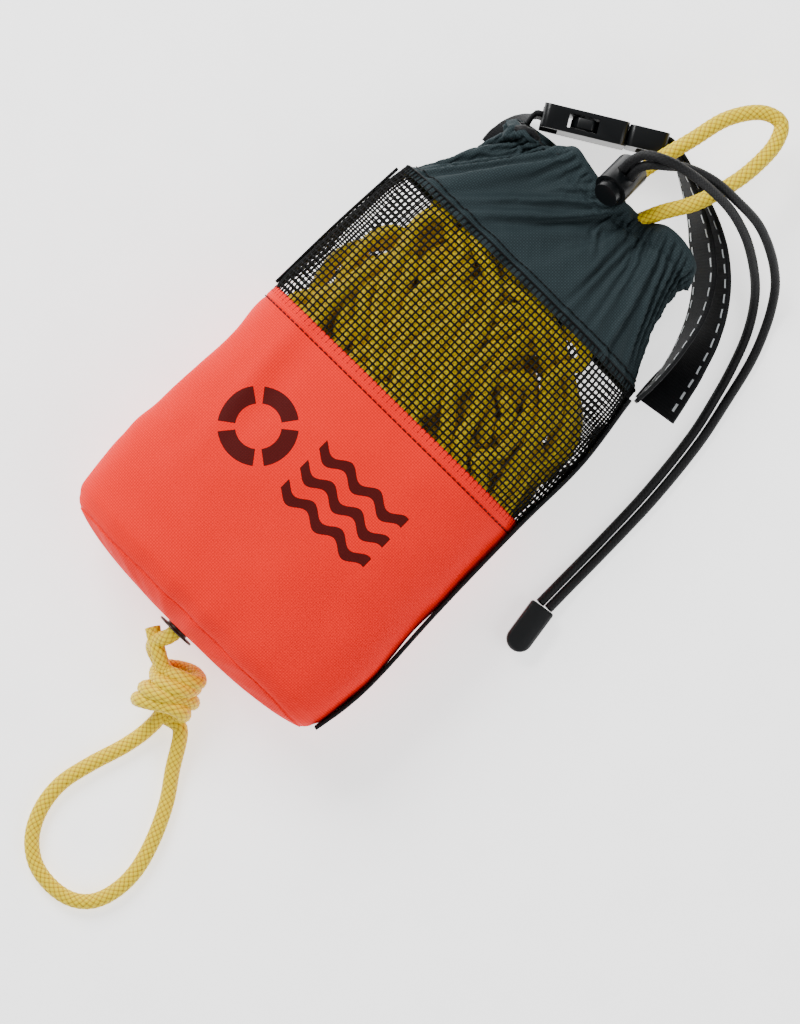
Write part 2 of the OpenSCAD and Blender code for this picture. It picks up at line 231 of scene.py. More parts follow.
def print_ring_and_waves(tree, cloth_colour):
    """Mixes the ink over the cloth colour."""
    _, across, along = uv_axes(tree)
    x = math_node(tree, "SUBTRACT", across, RING_AT[0])
    y = math_node(tree, "SUBTRACT", along, RING_AT[1])
    radius = math_node(tree, "SQRT", plus(tree, times(tree, x, x), times(tree, y, y)))
    ring = between(tree, radius, RING_IN, RING_OUT)
    turn = math_node(tree, "ARCTAN2", y, x)
    bands = math_node(tree, "COSINE", times(tree, turn, 4.0))
    gaps = between(tree, bands, -1.01, -0.86)
    ring = math_node(tree, "SUBTRACT", ring, times(tree, gaps, ring))
    ink = ring
    swell = math_node(tree, "SINE", times(tree, across, 2 * math.pi / WAVE_LONG))
    swell = times(tree, swell, WAVE_HIGH)
    inside = between(tree, across, WAVES_FROM, WAVES_TO)
    for row in WAVE_ROWS:
        level = math_node(tree, "SUBTRACT", math_node(tree, "SUBTRACT", along, row), swell)
        bar = math_node(tree, "LESS_THAN", math_node(tree, "ABSOLUTE", level), WAVE_HALF)
        ink = math_node(tree, "MAXIMUM", ink, times(tree, bar, inside))
    worn = times(tree, ink, INK_COVER)
    mix = add(tree, "Mix", {0: worn, 6: cloth_colour, 7: linear(INK)}, data_type="RGBA")
    return mix.outputs[2]


# Coated nylon pack cloth: bright and matte, each thread crossing visible. Pack cloth is usually
# finer than this; the threads are drawn 0.95 mm apart so that the weave shows at this distance.
# Its darkest and lightest colours are painted shade in the weave's gaps and a painted highlight on its
# raised threads.
orange_cloth = cloth_material("orange_pack_cloth", 0.95, ("#c00400", "#f20a00", "#ff1c06"), 0.7,
                              0.2, print_ring_and_waves)
# The same cloth dyed charcoal blue-grey, with a duller face and the same painted shade and highlight
# in its weave.
grey_cloth = cloth_material("grey_pack_cloth", 0.95, ("#12191b", "#232e31", "#2e3a3d"), 0.7, 0.2)

# %% [markdown]
# ## Braided rope and cord
# The rope is a braid of flat yarns, eight each way. On its UV map, across is one turn round the
# rope and along is metres. The same sine product as the weave, but on two diagonals, gives the
# diamonds of a braid, and its height colours the grooves between yarns with painted shade and the
# yarn tops with a painted highlight. Polypropylene yarn is glossy plastic fibre, so fine streaks run
# along it.

# %% Braid pattern
YARNS = 8
ROPE_PICK = 2.8
CORD_PICK = 1.7


def braid_material(name, pick_mm, shade_base_highlight_colours, roughness, bump_mm):
    """Braided yarns, pick_mm along the rope for each crossing, with painted shade between the yarns
    and a painted highlight on their tops.
    """
    material, tree, shader = new_material(name, roughness, 0.25)
    uv, around, along = uv_axes(tree)
    turned = times(tree, around, math.pi * YARNS)
    picked = times(tree, along, math.pi / (pick_mm * MM))
    _, height = crossings(tree, plus(tree, turned, picked),
                          math_node(tree, "SUBTRACT", turned, picked))
    stretch = add(tree, "Mapping", {"Vector": uv, "Scale": (60.0, 900.0, 1.0)})
    fibres = add(tree, "TexNoise", {"Vector": stretch.outputs[0], "Scale": 1.0, "Detail": 4.0})
    mixed = plus(tree, times(tree, height, 0.7), times(tree, fibres.outputs["Fac"], 0.35))
    colour = ramp(tree, mixed, [(0.10, shade_base_highlight_colours[0]), (0.45, shade_base_highlight_colours[1]), (0.92, shade_base_highlight_colours[2])])
    connect(tree, shader, colour, mixed, 0.7, bump_mm)
    return material


# Floating polypropylene rope: waxy bright yellow, with ochre painted shade between the yarns and a
# paler painted highlight on their tops.
yellow_rope = braid_material("yellow_polypropylene_braid", ROPE_PICK,
                             ("#6a4000", "#dcb400", "#f2dc00"), 0.45, 0.35)
# Nylon drawcord: black, fine and slightly shiny, with faint painted shade between the yarns and a
# faint painted highlight on their tops.
black_cord = braid_material("black_nylon_braid", CORD_PICK, ("#020202", "#070708", "#141517"),
                            0.55, 0.2)

# %% [markdown]
# ## Webbing, net yarn, thread and plastics
# Webbing shows short ribs across and fine warp lines along, coloured with painted shade between
# them and a painted highlight on their tops. Acetal mouldings are smooth with a
# faint grain from the mould and a soft sheen.

# %% Other materials
RIB_MM, PICK_MM = 0.9, 1.3


def webbing_material(name, shade_base_highlight_colours, roughness):
    """Flat woven webbing with warp ribs across it and picks along it, with painted shade between them
    and a painted highlight on their tops.
    """
    material, tree, shader = new_material(name, roughness, 0.15)
    uv, across, along = uv_axes(tree)
    _, height = crossings(tree, times(tree, across, math.pi / (RIB_MM * MM)),
                          times(tree, along, math.pi / (PICK_MM * MM)))
    fuzz = add(tree, "TexNoise", {"Vector": uv, "Scale": 1500.0, "Detail": 2.0})
    mixed = plus(tree, times(tree, height, 0.75), times(tree, fuzz.outputs["Fac"], 0.3))
    colour = ramp(tree, mixed, [(0.1, shade_base_highlight_colours[0]), (0.6, shade_base_highlight_colours[1]), (1.0, shade_base_highlight_colours[2])])
    connect(tree, shader, colour, mixed, 0.7, 0.2)
    return material


def solid_material(name, dark, light, roughness, grain_mm, bump_mm, shine=0.35):
    """A moulded, spun or drawn surface with a fine grain of that size."""
    material, tree, shader = new_material(name, roughness, shine)
    place = add(tree, "TexCoord").outputs["Object"]
    grain = add(tree, "TexNoise", {"Vector": place, "Scale": 1 / (grain_mm * MM), "Detail": 3.0})
    cloud = add(tree, "TexNoise", {"Vector": place, "Scale": 60.0, "Detail": 2.0})
    mixed = plus(tree, times(tree, grain.outputs["Fac"], 0.5), times(tree, cloud.outputs["Fac"], 0.5))
    colour = ramp(tree, mixed, [(0.3, dark), (0.7, light)])
    connect(tree, shader, colour, grain.outputs["Fac"], 0.35, bump_mm)
    return material


# Its darkest colour is painted shade between the ribs and its lightest a painted highlight on them.
black_webbing = webbing_material("black_nylon_webbing", ("#030304", "#08090b", "#121417"), 0.65)
tracer_thread = solid_material("reflective_tracer_thread", "#aeb4b8", "#e2e6e8", 0.35, 0.3, 0.05)
net_yarn = solid_material("black_polyester_net_yarn", "#020202", "#08090a", 0.6, 0.3, 0.04, 0.15)
maroon_thread = solid_material("maroon_bonded_thread", "#1a0403", "#340a08", 0.6, 0.25, 0.04, 0.15)
black_thread = solid_material("black_bonded_thread", "#030404", "#0a0b0c", 0.6, 0.25, 0.04, 0.15)
acetal = solid_material("black_moulded_acetal", "#050607", "#0c0e10", 0.3, 0.35, 0.02)
cord_end_black = solid_material("black_moulded_polypropylene", "#08090a", "#101214", 0.4, 0.3, 0.03)
# The lower cord-end half is tinted dark red as a painted reflection of the red bag on black plastic.
cord_end_red = solid_material("moulded_polypropylene_painted_red_reflection", "#2c0303", "#4a0606", 0.4, 0.3, 0.03)
spring_steel = solid_material("drawn_spring_steel", "#8c8e90", "#b4b6b8", 0.3, 0.2, 0.01)
eyelet_brass = solid_material("blackened_brass", "#3a3630", "#57514a", 0.35, 0.3, 0.02)
for metal in (spring_steel, eyelet_brass):
    metal.node_tree.nodes["Principled BSDF"].inputs["Metallic"].default_value = 1.0
white_foam = solid_material("closed_cell_polyethylene_foam", "#dcdcd6", "#f0f0ea", 0.8, 0.8, 0.2)
print(len(bpy.data.materials), "materials")

# %% [markdown]
# ## Mesh helpers
# Soft pieces are lofted: rings of points joined by faces. One function turns a grid of points
# into a closed-round mesh with a UV map in real units.

# %% Grid to mesh
def link_object(name, data):
    """A new object in the scene that holds the data."""
    made = bpy.data.objects.new(name, data)
    bpy.context.scene.collection.objects.link(made)
    return made


def make_active(piece):
    """Selects one piece, as Blender's operators need."""
    bpy.ops.object.select_all(action="DESELECT")
    piece.select_set(True)
    bpy.context.view_layer.objects.active = piece


def finish_piece(piece, material, body, stands_for):
    """Gives the piece its finish and its body; a piece that bends has no body."""
    piece.data.materials.clear()
    piece.data.materials.append(material)
    for polygon in piece.data.polygons:
        polygon.material_index = 0
    if body:
        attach(piece, body)
    if stands_for:
        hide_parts(*stands_for)
    return piece


def mesh_object(name, points, faces, loop_uv=None):
    """An object from points and faces, with one UV for each face corner."""
    mesh = bpy.data.meshes.new(name)
    mesh.from_pydata(np.asarray(points).tolist(), [], faces)
    if loop_uv is not None:
        layer = mesh.uv_layers.new(name="flat")
        layer.data.foreach_set("uv", np.asarray(loop_uv, np.float32).ravel())
    mesh.polygons.foreach_set("use_smooth", [True] * len(mesh.polygons))
    mesh.update()
    return link_object(name, mesh)


def loft_grid(name, grid, u, v, caps=False):
    """A tube from grid[row, column]; u has one value more than the columns, v one for each row."""
    rows, cols = grid.shape[:2]
    faces, loop_uv = [], []
    for r in range(rows - 1):
        for c in range(cols):
            n = (c + 1) % cols
            faces.append((r * cols + c, (r + 1) * cols + c, (r + 1) * cols + n, r * cols + n))
            loop_uv += [(u[c], v[r]), (u[c], v[r + 1]), (u[c + 1], v[r + 1]), (u[c + 1], v[r])]
    points = grid.reshape(-1, 3)
    if caps:
        points = np.vstack([points, grid[0].mean(0), grid[-1].mean(0)])
        for centre, r, flip in ((rows * cols, 0, False), (rows * cols + 1, rows - 1, True)):
            for c in range(cols):
                n = (c + 1) % cols
                ends = (r * cols + c, r * cols + n)
                faces.append((centre, ends[1], ends[0]) if flip else (centre, ends[0], ends[1]))
                loop_uv += [(u[c], v[r])] * 3
    return mesh_object(name, points, faces, loop_uv)


def apply_modifier(piece, kind, name, **settings):
    """Adds a modifier, sets it and applies it."""
    modifier = piece.modifiers.new(name, kind)
    for key, value in settings.items():
        setattr(modifier, key, value)
    make_active(piece)
    bpy.ops.object.modifier_apply(modifier=name)


# %% [markdown]
# ## The bag's own skin
# Every cloth piece lies on one surface, so that surface is worked out once, as a table of points:
# one row each millimetre along the bag, and columns evenly spaced round it. The widths and
# heights repeat the CAD's stations. Gentle unevenness, a dent and soft folds then make it cloth.

# %% Skin table
BAG_W, BAG_H = 140.0, 62.0
y_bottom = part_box("main_panel")[0].y / MM
y_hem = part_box("main_panel")[1].y / MM
y_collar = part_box("collar")[0].y / MM
y_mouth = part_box("collar")[1].y / MM
half_w = BAG_W / 2
STATIONS = np.array([
    [y_bottom, half_w - 5, 3, BAG_H - 5, 1],
    [y_bottom + 6, half_w - 1, 0, BAG_H - 1, 4],
    [y_bottom + 30, half_w + 2, 0, BAG_H, 6],
    [y_bottom + 75, half_w, 0, BAG_H, 6],
    [y_hem, half_w, 0, BAG_H - 1, 6],
    [y_hem + 35, half_w - 1, 0, BAG_H - 3, 6],
    [y_collar, half_w - 3, 0, BAG_H - 5, 6],
    [y_collar + 14, half_w - 6, 0, BAG_H - 6, 5],
    [y_collar + 26, half_w - 11, 1, BAG_H - 8, 3],
    [y_collar + 36, half_w - 15, 3.5, BAG_H - 11, 1],
    [y_collar + 45, half_w - 20, 7, BAG_H - 15, 0],
    [y_mouth, half_w - 26, 11, BAG_H - 18, 0]])
ROUNDNESS = 2.5
COLUMNS = 480
SMOOTH_ROWS = 15
GIRTH_ROW = 110


def outline_at(y):
    """Half width, floor, middle height and half height of the section at distance y, in mm."""
    half, low, high, sink = [np.interp(y, STATIONS[:, 0], STATIONS[:, k]) for k in (1, 2, 3, 4)]
    return half, low, (low - sink + high) / 2, (high - low + sink) / 2


def section(y):
    """Points evenly spaced round the bag at distance y, starting at its +X side, in mm."""
    half, low, middle, reach = outline_at(y)
    turn = np.linspace(0, 2 * math.pi, 1441)
    bend = 2 / ROUNDNESS
    x = half * np.sign(np.cos(turn)) * np.abs(np.cos(turn)) ** bend
    z = np.maximum(low, middle + reach * np.sign(np.sin(turn)) * np.abs(np.sin(turn)) ** bend)
    run = np.concatenate([[0], np.cumsum(np.hypot(np.diff(x), np.diff(z)))])
    even = np.linspace(0, run[-1], COLUMNS, endpoint=False)
    return np.stack([np.interp(even, run, x), np.full(COLUMNS, y), np.interp(even, run, z)], 1)


rows_y = np.arange(y_bottom, y_mouth + 0.5)
skin = np.array([section(y) for y in rows_y])
kernel = np.hanning(SMOOTH_ROWS)
kernel /= kernel.sum()
spare = SMOOTH_ROWS // 2
padded_skin = np.concatenate([skin[:1]] * spare + [skin] + [skin[-1:]] * spare)
smooth_skin = sum(kernel[k] * padded_skin[k:k + len(skin)] for k in range(SMOOTH_ROWS))
smooth_skin[:, :, 1] = skin[:, :, 1]
skin = smooth_skin
GIRTH = float(np.linalg.norm(np.diff(skin[GIRTH_ROW], axis=0), axis=1).sum())
print("girth of the filled bag", round(GIRTH), "mm")


def outward(points):
    """Outward unit normals of a table of points."""
    along = np.gradient(points, axis=0)
    around = np.roll(points, -1, axis=1) - np.roll(points, 1, axis=1)
    normal = np.cross(along, around)
    return normal / np.maximum(np.linalg.norm(normal, axis=2, keepdims=True), 1e-9)


def hump(distance, width):
    """A smooth bump of height 1 and about that width."""
    return np.exp(-(distance / width) ** 2)


# %% [markdown]
# ## Unevenness of the filled bag
# Rope under cloth never fills it evenly. Broad and fine noise lift the cloth by a millimetre or
# two, and a few humps add the folds, a dent by the webbing and the gathers at the bottom seam.

# %% Folds and unevenness
def bulges(points):
    """How far the cloth stands out from the plain loft, in mm."""
    x, y, z = points[..., 0], points[..., 1], points[..., 2]
    flat = points.reshape(-1, 3)
    broad = np.array([noise.noise(Vector(p) / 34) for p in flat]).reshape(x.shape)
    fine = np.array([noise.noise(Vector(p) / 13 + Vector((7, 3, 1))) for p in flat])
    rise = 1.5 * broad + 0.45 * fine.reshape(x.shape)
    side = np.clip(np.abs(x) / half_w, 0, 1)
    rise -= 0.9 * hump(y + 48, 13) * hump(x - 70, 16)
    rise += 1.6 * hump(x + 52 + 0.10 * (y - 10), 5) * hump(y + 20, 34) * (z > 20)
    rise -= 1.2 * hump(x + 42 + 0.10 * (y - 10), 6) * hump(y + 15, 30) * (z > 20)
    rise += 1.0 * hump(0.35 * x + y + 92, 7) * (z > 20)
    rise -= 1.0 * hump(y - y_hem, 6) + 1.0 * hump(y - y_collar, 6)
    gather = np.sin(x / 4.1 + 1.3 * np.sin(x / 17)) * hump(y - y_bottom, 12)
    rise += 0.7 * gather * (1 - 0.5 * side)
    return rise


# Net yarn and stitches stand out from the cloth, so it lies this far above the floor
FLOOR_CLEAR = 0.8
skin = skin + outward(skin) * bulges(skin)[..., None]
skin[..., 2] = np.maximum(skin[..., 2], FLOOR_CLEAR)
print("skin table", skin.shape)

# %% [markdown]
# ## The gathered collar
# The collar is a straight tube of cloth whose top edge is pulled in by the drawcord, so its folds
# are best found by simulation. The cloth starts as a straight tube, its top ring is drawn in to
# the outline of the mouth over some frames, and the rest follows and buckles as cloth does. The
# outline is a loop of listed points with the folds at the lip.

# %% Collar
COLLAR_LEN = 60.0
COLLAR_ROWS, COLLAR_COLS = 31, 240
DRAWN_IN_BY, SETTLED_BY = 24, 36
LIP = [(47, 131, 27), (50, 133, 34), (47, 138, 40), (38, 141, 42.5), (28, 141, 41),
       (22, 138, 34), (15, 136.5, 35), (11, 136, 43), (3, 135, 45.5), (-6, 135, 46),
       (-14, 136.5, 45.5), (-21, 137.5, 44), (-26, 134, 37), (-31, 129.5, 33), (-36, 128, 39),
       (-42, 128.5, 38), (-47, 129.5, 31), (-47, 130.5, 23), (-41, 133, 15), (-33, 134, 17.5),
       (-24, 135, 11.5), (-14, 134, 16), (-4, 135, 11), (7, 134, 16), (17, 135, 11),
       (27, 134, 16.5), (36, 133, 13.5), (43, 131, 19)]


def running(path):
    """The distance run along a path at each of its points."""
    return np.concatenate([[0], np.cumsum(np.linalg.norm(np.diff(path, axis=0), axis=1))])


def places_at(path, distances):
    """The points of a path at those distances run along it."""
    run = running(path)
    return np.stack([np.interp(distances, run, path[:, k]) for k in range(3)], 1)


def spline(a, b, c, d, count):
    """A smooth stretch from b to c, given the points before and after it."""
    t = np.linspace(0, 1, count, endpoint=False)[:, None]
    return 0.5 * (2 * b + (c - a) * t + (2 * a - 5 * b + 4 * c - d) * t ** 2
                  + (3 * b - a - 3 * c + d) * t ** 3)


def closed_curve(points, count):
    """A smooth closed curve through points, evenly resampled."""
    p = np.array(points, float)
    parts = [spline(*(p[(k + i) % len(p)] for i in (-1, 0, 1, 2)), 24) for k in range(len(p))]
    dense = np.vstack(parts + [parts[0][:1]])
    return places_at(dense, np.linspace(0, running(dense)[-1], count, endpoint=False))


base_ring = skin[int(y_collar - y_bottom)][::COLUMNS // COLLAR_COLS]
lip_ring = closed_curve(LIP, COLLAR_COLS)
share = np.linspace(0, 1, COLLAR_ROWS)[:, None, None]
straight = base_ring[None] + share * np.array([0, COLLAR_LEN, 0])
gathered = base_ring[None] * (1 - share ** 1.5) + lip_ring[None] * share ** 1.5
gathered[..., 1] = base_ring[:, 1] * (1 - share[..., 0]) + lip_ring[:, 1] * share[..., 0]


def simulate_collar():
    """Draws the top ring of a straight cloth tube in to the lip and returns where it ends."""
    columns = np.linspace(0, 1, COLLAR_COLS + 1)
    piece = loft_grid("collar_simulation", straight * MM, columns, share[:, 0, 0])
    pins = piece.vertex_groups.new(name="pins")
    count = COLLAR_ROWS * COLLAR_COLS
    edge = list(range(COLLAR_COLS)) + list(range(count - 2 * COLLAR_COLS, count))
    pins.add(edge, 1.0, "REPLACE")
    piece.shape_key_add(name="Basis")
    key = piece.shape_key_add(name="drawn_in")
    key.data.foreach_set("co", (gathered * MM).ravel())
    scene = bpy.context.scene
    key.value = 0.0
    key.keyframe_insert("value", frame=1)
    key.value = 1.0
    key.keyframe_insert("value", frame=DRAWN_IN_BY)
    cloth = piece.modifiers.new("cloth", "CLOTH")
    settings = cloth.settings
    settings.vertex_group_mass = "pins"
    settings.quality = 8
    settings.mass = 0.25
    settings.tension_stiffness = 25
    settings.compression_stiffness = 25
    settings.shear_stiffness = 8
    settings.bending_stiffness = 1.2
    settings.air_damping = 4
    settings.use_pressure = True
    settings.uniform_pressure_force = 0.4
    settings.effector_weights.gravity = 0.0
    cloth.collision_settings.use_collision = False
    cloth.collision_settings.use_self_collision = True
    cloth.collision_settings.self_distance_min = 0.9 * MM
    cloth.point_cache.frame_end = SETTLED_BY
    for number in range(1, SETTLED_BY + 1):
        scene.frame_set(number)
    graph = bpy.context.evaluated_depsgraph_get()
    done = piece.evaluated_get(graph).to_mesh()
    found = np.empty(count * 3)
    done.vertices.foreach_get("co", found)
    bpy.data.objects.remove(piece)
    scene.frame_set(1)
    return found.reshape(COLLAR_ROWS, COLLAR_COLS, 3) / MM


collar_table = simulate_collar()
collar_table[..., 2] = np.maximum(collar_table[..., 2], FLOOR_CLEAR)
shift = np.linalg.norm(collar_table - gathered, axis=2)
print("collar cloth moved", round(float(shift.mean()), 1), "mm on average")


# %% [markdown]
# ## Places on the cloth
# Seams, net and stitches need points between the rows and columns of the tables, so one function
# reads a table at any place. Two more turn distances on the cloth into points on the bag.

# %% Sampling a table at any place
def sample(table, row, column):
    """Bilinear value of a table at fractional rows and columns; columns wrap."""
    rows, cols = table.shape[:2]
    row = np.clip(row, 0, rows - 1.001)
    r, c = np.floor(row).astype(int), np.floor(column).astype(int)
    fr, fc = (row - r)[..., None], (column - c)[..., None]
    c0, c1 = c % cols, (c + 1) % cols
    top = table[r, c0] * (1 - fc) + table[r, c1] * fc
    low = table[r + 1, c0] * (1 - fc) + table[r + 1, c1] * fc
    return top * (1 - fr) + low * fr


skin_normals, collar_normals = outward(skin), outward(collar_table)


def on_skin(y, turn, lift=0.0):
    """Points on the bag's skin at distance y (mm) and turn (0 to 1 from the +X side)."""
    row, column = np.broadcast_arrays(np.asarray(y, float) - y_bottom,
                                      np.asarray(turn, float) * COLUMNS)
    return sample(skin, row, column) + sample(skin_normals, row, column) * np.asarray(lift)[..., None]


def on_collar(up, turn, lift=0.0):
    """Points on the collar, up millimetres of cloth above its lower edge."""
    row, column = np.broadcast_arrays(np.asarray(up, float) / COLLAR_LEN * (COLLAR_ROWS - 1),
                                      np.asarray(turn, float) * COLLAR_COLS)
    return (sample(collar_table, row, column)
            + sample(collar_normals, row, column) * np.asarray(lift)[..., None])


def flat_u(count):
    """UV across the cloth in metres, measured from the middle of the front."""
    return (0.25 - np.linspace(0, 1, count + 1)) * GIRTH * MM


# %% [markdown]
# ## Orange body panel
# The panel's top edge is turned under and stitched, so the last few millimetres are double and
# stand a little proud, with a groove where the stitches pull the cloth down. The grid follows the
# skin table, and Solidify gives the cloth its thickness.

# %% Orange panel
HEM_W = 6.0
CLOTH_T = 0.8


def panel_lift(y):
    """Extra height of the turned hem, its stitch groove and the seam ridge at the bottom."""
    hem = 0.45 / (1 + np.exp(-(y - (y_hem - HEM_W - 0.4)) / 0.25))
    groove = 0.5 * hump(y - (y_hem - HEM_W), 0.8)
    rolled = -0.5 * np.clip((y - y_hem + 0.8) / 0.8, 0, 1) ** 2
    rounded = 3.2 * np.clip((y_bottom + 8 - y) / 8, 0, 1) ** 2
    seam = 0.4 * hump(y - (y_bottom + 2), 1.6) - 0.4 * hump(y - (y_bottom + 5), 2.0) - rounded
    return hem - groove + rolled + seam


panel_y = np.concatenate([np.arange(y_bottom, y_hem - HEM_W - 2, 1.5),
                          np.arange(y_hem - HEM_W - 2, y_hem + 0.01, 0.4)])
PANEL_COLS = 360
turns = np.linspace(0, 1, PANEL_COLS, endpoint=False)
panel_grid = on_skin(panel_y[:, None], turns[None], panel_lift(panel_y)[:, None] * np.ones(PANEL_COLS))
orange_body = loft_grid("orange_body_panel", panel_grid * MM, flat_u(PANEL_COLS), panel_y * MM)
apply_modifier(orange_body, "SOLIDIFY", "thickness", thickness=CLOTH_T * MM, offset=-1.0,
               use_even_offset=False)
finish_piece(orange_body, orange_cloth, "root", ["main_panel"])
print("orange panel", len(orange_body.data.polygons), "faces")

# %% [markdown]
# ## Bottom panel
# An oval of the same cloth closes the sack. It is domed by the foam behind it and gathered a
# little where it is sewn in, with the eyelet in its middle.

# %% Bottom panel
EXIT_Z = 28.0
EYE_R = 5.3
DOME = 6.0
shares = np.linspace(1, 0, 40)
rim = panel_grid[0]
angle = turns * 2 * math.pi
eye = np.stack([EYE_R * np.cos(angle), np.full(PANEL_COLS, y_bottom),
                EXIT_Z + EYE_R * np.sin(angle)], 1)
bottom_grid = rim[None] * shares[:, None, None] + eye[None] * (1 - shares[:, None, None])
ruffle = np.sin(angle * 19 + 2 * np.sin(3 * angle)) * shares[:, None] ** 6 * (1 - shares[:, None])
bottom_grid[..., 1] -= DOME * (1 - shares[:, None] ** 3) + 4.0 * ruffle
bottom = loft_grid("bottom_end_panel", bottom_grid[::-1] * MM, flat_u(PANEL_COLS), shares * 0.06)
flat_map = bottom.data.uv_layers[0]
for corner, loop in enumerate(bottom.data.loops):
    place = bottom.data.vertices[loop.vertex_index].co
    flat_map.data[corner].uv = (place.x, place.z + 0.4)
apply_modifier(bottom, "SOLIDIFY", "thickness", thickness=CLOTH_T * MM, offset=0.0)
finish_piece(bottom, orange_cloth, "root", ["bottom_panel"])

# %% [markdown]
# ## Collar cloth
# The grey collar samples the simulated table. Near the mouth its edge is turned over the
# drawcord, so the cloth swells over the cord and is pinched by the stitching below it.

# %% Collar piece
CHANNEL = 50.0
collar_up = np.concatenate([np.arange(0, 9, 0.5), np.arange(9, CHANNEL - 4, 1.0),
                            np.arange(CHANNEL - 4, COLLAR_LEN + 0.01, 0.5)])
collar_lift = (0.45 * hump(collar_up - 3, 3.2) - 0.5 * hump(collar_up - 6, 0.8)
               + 0.9 * hump(collar_up - 55, 3.6) - 0.6 * hump(collar_up - CHANNEL, 0.9))
COLLAR_FINE = 480
fine_turns = np.linspace(0, 1, COLLAR_FINE, endpoint=False)
collar_grid = on_collar(collar_up[:, None], fine_turns[None],
                        collar_lift[:, None] * np.ones(COLLAR_FINE))
crease = np.array([noise.noise(Vector(p) / 7) for p in collar_grid.reshape(-1, 3)])
collar_normal = outward(collar_grid)
collar_grid = collar_grid + collar_normal * (0.35 * crease.reshape(collar_grid.shape[:2]))[..., None]
collar_piece = loft_grid("grey_collar", collar_grid * MM, flat_u(COLLAR_FINE),
                         (y_collar + collar_up) * MM)
apply_modifier(collar_piece, "SOLIDIFY", "thickness", thickness=CLOTH_T * MM, offset=-1.0,
               use_even_offset=False)
finish_piece(collar_piece, grey_cloth, "root", ["collar"])
print("collar", len(collar_piece.data.polygons), "faces")

# %% [markdown]
# ## Net window
# The net is a warp-knitted mesh with small square openings. It is real geometry, because the
# rope shows through. One family of strands runs along the bag and the other round it, both over
# the skin table, and each strand is thicker where it crosses another.

# %% Net
NET_STRANDS = 138
NET_ROWS = 31
NET_SIDES = 4
NET_KNOT, NET_YARN = 0.50, 0.36
NET_APART = 0.12


def net_strands(y, turn, out):
    """Vertex rings along strands through on_skin(y, turn); both are tables, a strand a row."""
    normal = sample(skin_normals, y - y_bottom, turn * COLUMNS)
    thick = np.where(np.arange(y.shape[1]) % 2 == 0, NET_KNOT, NET_YARN)[None, :, None]
    line = on_skin(y, turn, 0.0) + normal * out
    along = np.gradient(line, axis=1)
    along /= np.linalg.norm(along, axis=2, keepdims=True)
    side = np.cross(along, normal)
    rings = [line + thick * (side * math.cos(a) + normal * math.sin(a))
             for a in np.arange(NET_SIDES) * 2 * math.pi / NET_SIDES]
    return np.stack(rings, 2)


def strand_faces(shape, first):
    """Quads that join each ring to the next along every strand."""
    index = first + np.arange(int(np.prod(shape))).reshape(shape)
    turned = np.roll(index, -1, 2)
    return np.stack([index[:, :-1], turned[:, :-1], turned[:, 1:], index[:, 1:]], -1).reshape(-1, 4)


net_y = np.linspace(y_hem - 3, y_collar + 3, NET_ROWS * 2 + 1)
lengthwise_turn = np.arange(NET_STRANDS) / NET_STRANDS
lengthwise = net_strands(*np.broadcast_arrays(net_y[None], lengthwise_turn[:, None]), NET_APART)
round_turn = np.linspace(0, 1, NET_STRANDS * 2 + 1)
roundwise = net_strands(*np.broadcast_arrays(net_y[::2][:, None], round_turn[None]), -NET_APART)
net_points = np.vstack([lengthwise.reshape(-1, 3), roundwise.reshape(-1, 3)])
net_faces = np.vstack([strand_faces(lengthwise.shape[:3], 0),
                       strand_faces(roundwise.shape[:3], lengthwise.size // 3)])
net = mesh_object("net_window", net_points * MM, net_faces.tolist())
finish_piece(net, net_yarn, "root", ["mesh_panel"])
print("net", len(net.data.polygons), "faces")

# %% [markdown]
# ## Braided tubes
# One function sweeps every rope and cord. Frames are carried along the path without twist, and
# the surface is raised where a yarn lies on top, so the outline shows the braid as well.

# %% Tubes
def open_curve(points, step):
    """A smooth curve through hand-chosen points, resampled every step mm."""
    p = np.array(points, float)
    p = np.vstack([2 * p[0] - p[1], p, 2 * p[-1] - p[-2]])
    parts = [spline(*p[k - 1:k + 3], 32) for k in range(1, len(p) - 2)]
    dense = np.vstack(parts + [p[-2:-1]])
    length = running(dense)[-1]
    return places_at(dense, np.linspace(0, length, max(3, int(round(length / step)) + 1)))


def length_of(path):
    """Length of a path in its own units."""
    return float(np.linalg.norm(np.diff(path, axis=0), axis=1).sum())


def carried_frames(path):
    """Side and up vectors carried along a path without twisting."""
    heading = np.gradient(path, axis=0)
    heading /= np.linalg.norm(heading, axis=1, keepdims=True)
    side = np.empty_like(path)
    first = np.cross(heading[0], (0, 0, 1.0))
    if np.linalg.norm(first) < 0.1:
        first = np.cross(heading[0], (1.0, 0, 0))
    side[0] = first / np.linalg.norm(first)
    for k in range(1, len(path)):
        carried = side[k - 1] - heading[k] * np.dot(side[k - 1], heading[k])
        side[k] = carried / np.linalg.norm(carried)
    return side, np.cross(side, heading)


def braid_height(around, along, pick):
    """Height from 0 to 1 of braided yarns at a place on the tube."""
    p, q = YARNS * around + along / pick, YARNS * around - along / pick
    fp, fq = p % 1.0, q % 1.0
    over = (np.floor(p) + np.floor(q)) % 2 == 0
    across, lengthwise = np.where(over, fq, fp), np.where(over, fp, fq)
    return np.sqrt(1 - (2 * across - 1) ** 2) * (1 - 0.35 * (2 * lengthwise - 1) ** 2)


def tube(name, path, diameter, sides, pick, relief=0.0):
    """A round tube along a path in mm, with braid relief in mm."""
    side, up = carried_frames(path)
    turn = np.arange(sides) / sides
    run = running(path)
    radius = np.full((len(path), sides), diameter / 2)
    if relief:
        radius += relief * (braid_height(turn[None], run[:, None], pick) - 0.75)
    a = turn * 2 * math.pi
    spokes = side[:, None] * np.cos(a)[None, :, None] + up[:, None] * np.sin(a)[None, :, None]
    grid = path[:, None] + radius[..., None] * spokes
    return loft_grid(name, grid * MM, np.linspace(0, 1, sides + 1), run * MM, caps=True)
